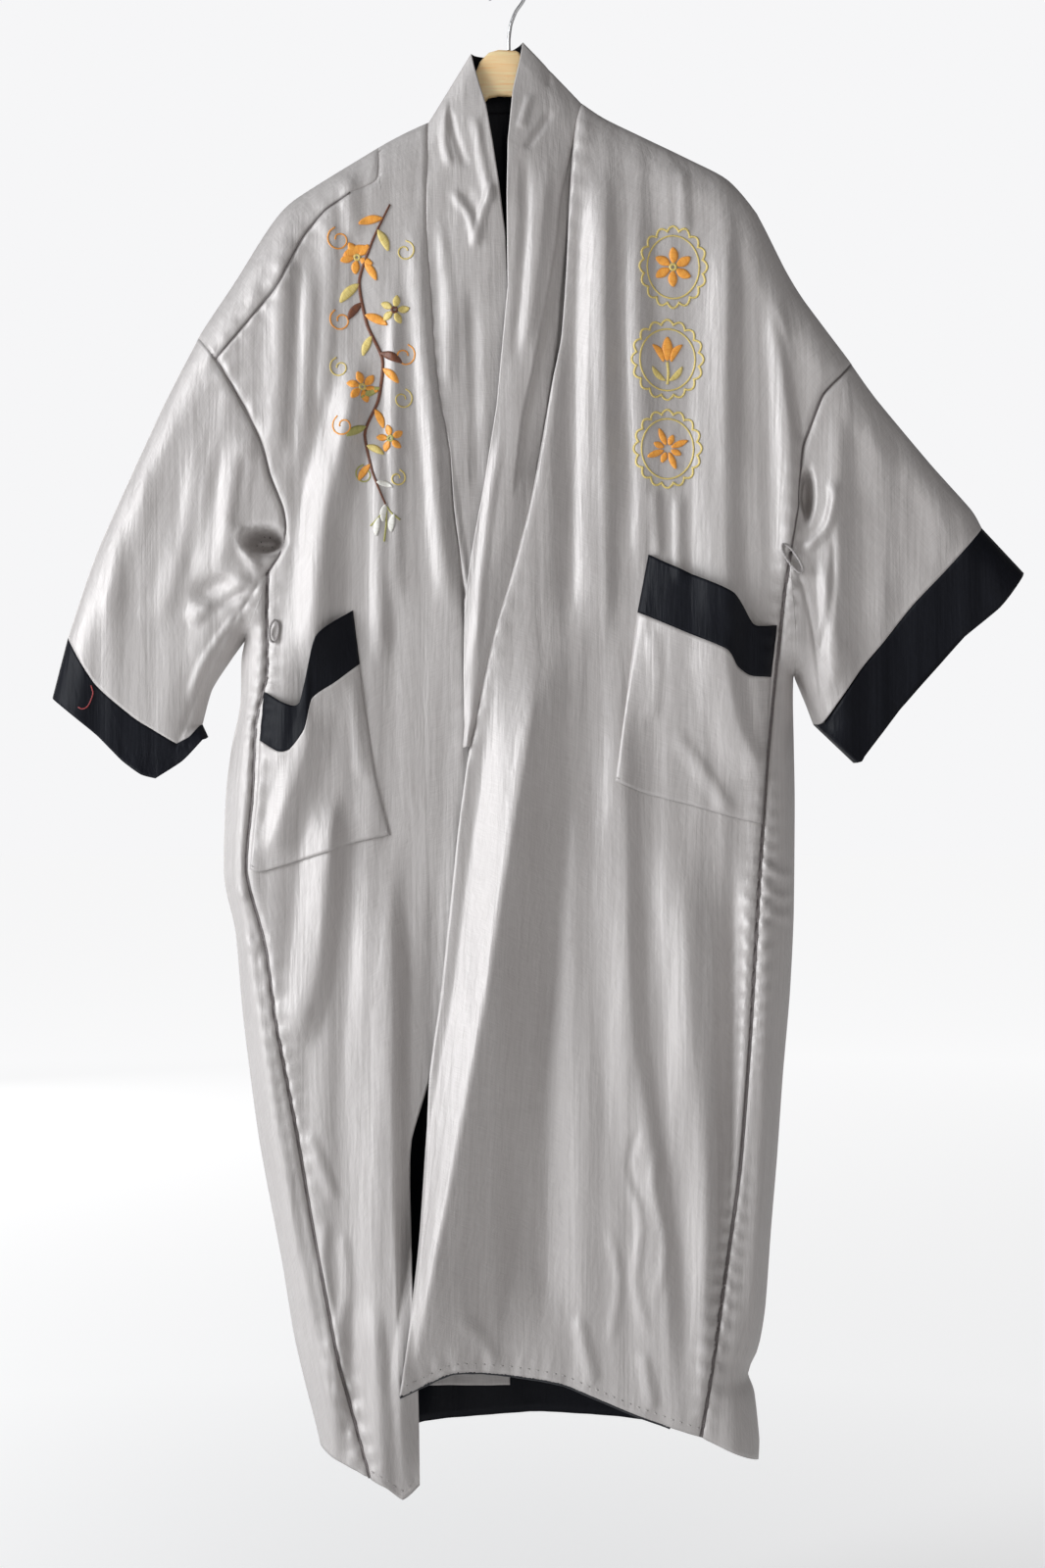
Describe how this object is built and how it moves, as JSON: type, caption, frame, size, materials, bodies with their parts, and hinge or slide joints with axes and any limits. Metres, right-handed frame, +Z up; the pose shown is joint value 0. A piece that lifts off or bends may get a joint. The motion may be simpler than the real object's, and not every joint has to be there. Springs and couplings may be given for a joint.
{
  "type": "kimono robe on hanger",
  "caption": "Long satin kimono style robe with a neck band, wide sleeves, dark cuffs and patch pockets, hung open on a wooden hanger.",
  "frame": {"origin": "inside of the hook's top, where it rests on a rail", "axes": "+X to the wearer's left, +Y to the back of the robe, +Z up"},
  "size_m": [0.9217, 0.1057, 1.4367],
  "materials": {
    "front_left": "grey satin",
    "front_right": "grey satin",
    "back_left": "grey satin",
    "back_right": "grey satin",
    "back_lining": "black satin",
    "lining_patch": "grey satin",
    "sleeve_left": "grey satin",
    "sleeve_right": "grey satin",
    "cuff_left": "black satin",
    "cuff_right": "black satin",
    "collar": "grey satin",
    "pocket_left": "grey satin",
    "pocket_right": "grey satin",
    "pocket_band_left": "black satin",
    "pocket_band_right": "black satin",
    "belt_loop_left": "grey satin",
    "belt_loop_right": "grey satin",
    "hanger_wood": "varnished pale wood",
    "hanger_hook": "bright wire"
  },
  "bodies": {
    "root": {"front_left": "front_left", "front_right": "front_right", "back_left": "back_left", "back_right": "back_right", "back_lining": "back_lining", "lining_patch": "lining_patch", "sleeve_left": "sleeve_left", "sleeve_right": "sleeve_right", "cuff_left": "cuff_left", "cuff_right": "cuff_right", "collar": "collar", "pocket_left": "pocket_left", "pocket_right": "pocket_right", "pocket_band_left": "pocket_band_left", "pocket_band_right": "pocket_band_right", "belt_loop_left": "belt_loop_left", "belt_loop_right": "belt_loop_right", "hanger_wood": "hanger_wood", "hanger_hook": "hanger_hook"}
  },
  "joints": []
}
